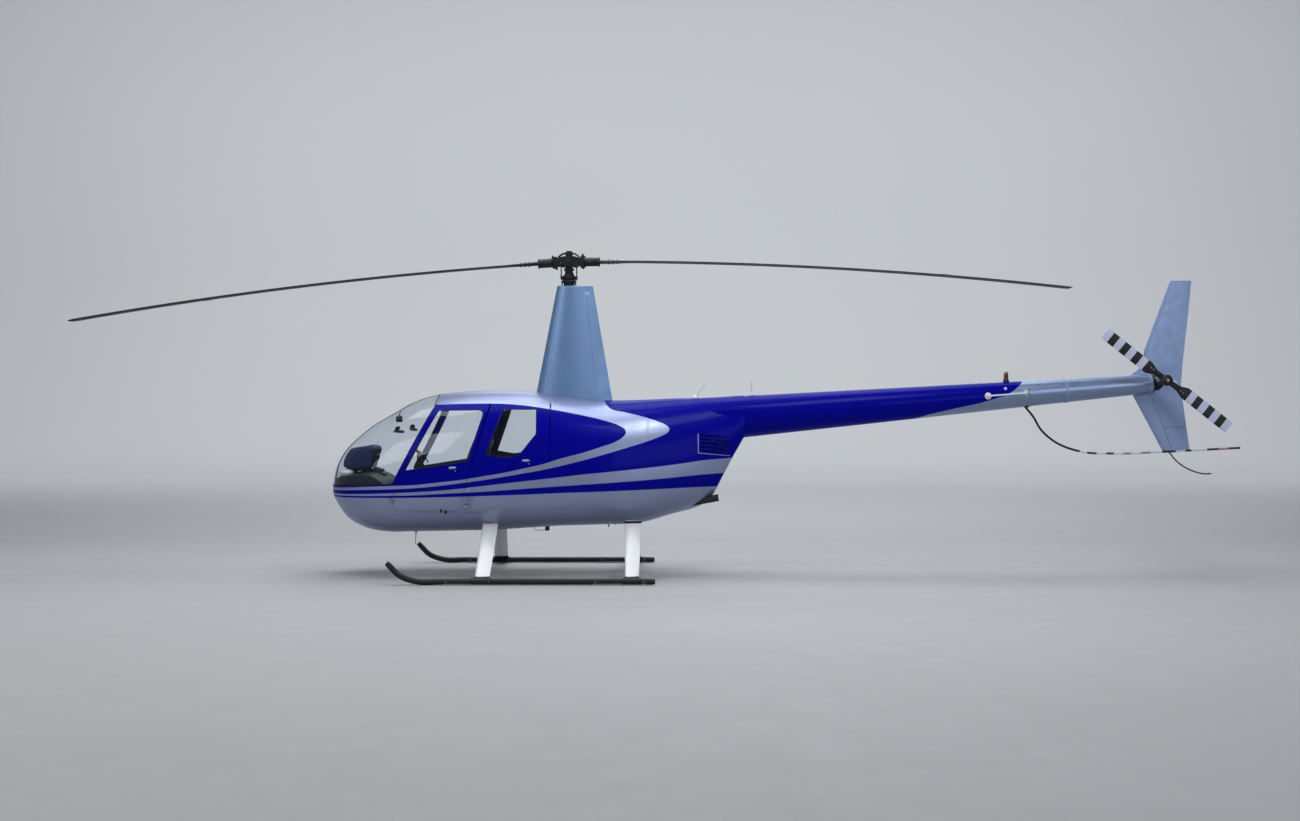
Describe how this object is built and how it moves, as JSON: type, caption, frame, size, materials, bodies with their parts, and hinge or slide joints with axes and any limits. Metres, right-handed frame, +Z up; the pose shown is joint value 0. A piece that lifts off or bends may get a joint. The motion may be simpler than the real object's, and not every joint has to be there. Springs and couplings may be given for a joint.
{
  "type": "four-seat piston helicopter",
  "caption": "Light single-engine helicopter on skids: teetering main rotor on a tall streamlined mast, tail rotor on a long tailcone, glazed cabin with hinged doors.",
  "frame": {"origin": "on the ground under the middle of the whole machine's length and width", "axes": "+Z up, -X towards the nose, -Y towards the left side"},
  "size_m": [11.7706, 2.236, 3.227],
  "materials": {
    "hull_paint": "gloss",
    "cone_paint": "gloss",
    "fairing_paint": "gloss",
    "glazing": "gloss",
    "lamp_glass": "gloss",
    "bare_metal": "satin",
    "machinery": "satin",
    "engine_mass": "satin",
    "fan_shroud": "satin",
    "dark_steel": "satin",
    "fin_skin": "satin",
    "guard_paint": "gloss",
    "skid_paint": "satin",
    "leg_paint": "gloss",
    "carpet": "matte",
    "upholstery": "matte",
    "console_plastic": "matte",
    "beacon_lens": "gloss",
    "blade_paint": "satin",
    "tail_blade_paint": "gloss"
  },
  "bodies": {
    "airframe": {"cabin_shell": "hull_paint", "engine_cowl": "hull_paint", "tailcone": "cone_paint", "windshield_left": "glazing", "windshield_right": "glazing", "landing_light_left": "lamp_glass", "landing_light_right": "lamp_glass", "firewall": "bare_metal", "main_gearbox": "machinery", "engine_block": "engine_mass", "fan_scroll": "fan_shroud", "exhaust_pipe": "dark_steel", "mast_fairing": "fairing_paint", "swashplate_lower": "dark_steel", "upper_fin": "fin_skin", "lower_fin": "fin_skin", "horizontal_stabilizer": "fin_skin", "tail_gearbox": "dark_steel", "tail_guard": "guard_paint", "tail_skid": "dark_steel", "left_skid": "skid_paint", "right_skid": "skid_paint", "front_left_leg": "leg_paint", "rear_left_leg": "leg_paint", "front_right_leg": "leg_paint", "rear_right_leg": "leg_paint", "cabin_floor": "carpet", "front_left_seat": "upholstery", "rear_left_seat": "upholstery", "front_right_seat": "upholstery", "rear_right_seat": "upholstery", "instrument_console": "console_plastic", "cyclic_stick": "dark_steel", "beacon": "beacon_lens", "roof_antenna": "leg_paint", "cone_antenna": "leg_paint", "belly_antenna": "leg_paint", "side_antenna": "leg_paint"},
    "main_rotor": {"rotor_mast": "dark_steel", "rotor_hub": "blade_paint", "forward_blade": "blade_paint", "aft_blade": "blade_paint", "swashplate_upper": "dark_steel"},
    "tail_rotor": {"tail_rotor_hub": "dark_steel", "tail_blade_forward": "tail_blade_paint", "tail_blade_aft": "tail_blade_paint"},
    "front_left_door_body": {"front_left_door": "hull_paint", "front_left_window": "glazing"},
    "rear_left_door_body": {"rear_left_door": "hull_paint", "rear_left_window": "glazing"},
    "front_right_door_body": {"front_right_door": "hull_paint", "front_right_window": "glazing"},
    "rear_right_door_body": {"rear_right_door": "hull_paint", "rear_right_window": "glazing"}
  },
  "joints": [
    {"name": "main_rotor_turn", "type": "hinge", "parent": "airframe", "child": "main_rotor", "pos_m": [-0.875, 0, 3.117], "axis": [0, 0, 1], "continuous": true},
    {"name": "tail_rotor_turn", "type": "hinge", "parent": "airframe", "child": "tail_rotor", "pos_m": [5.003, -0.36, 1.928], "axis": [0, 1, 0], "continuous": true},
    {"name": "front_left_door_hinge", "type": "hinge", "parent": "airframe", "child": "front_left_door_body", "pos_m": [-2.565, -0.598, 0.9], "axis": [0, 0, -1], "range_deg": [0, 75]},
    {"name": "rear_left_door_hinge", "type": "hinge", "parent": "airframe", "child": "rear_left_door_body", "pos_m": [-1.853, -0.652, 0.9], "axis": [0, 0, -1], "range_deg": [0, 75]},
    {"name": "front_right_door_hinge", "type": "hinge", "parent": "airframe", "child": "front_right_door_body", "pos_m": [-2.565, 0.598, 0.9], "axis": [0, 0, 1], "range_deg": [0, 75]},
    {"name": "rear_right_door_hinge", "type": "hinge", "parent": "airframe", "child": "rear_right_door_body", "pos_m": [-1.853, 0.652, 0.9], "axis": [0, 0, 1], "range_deg": [0, 75]}
  ]
}
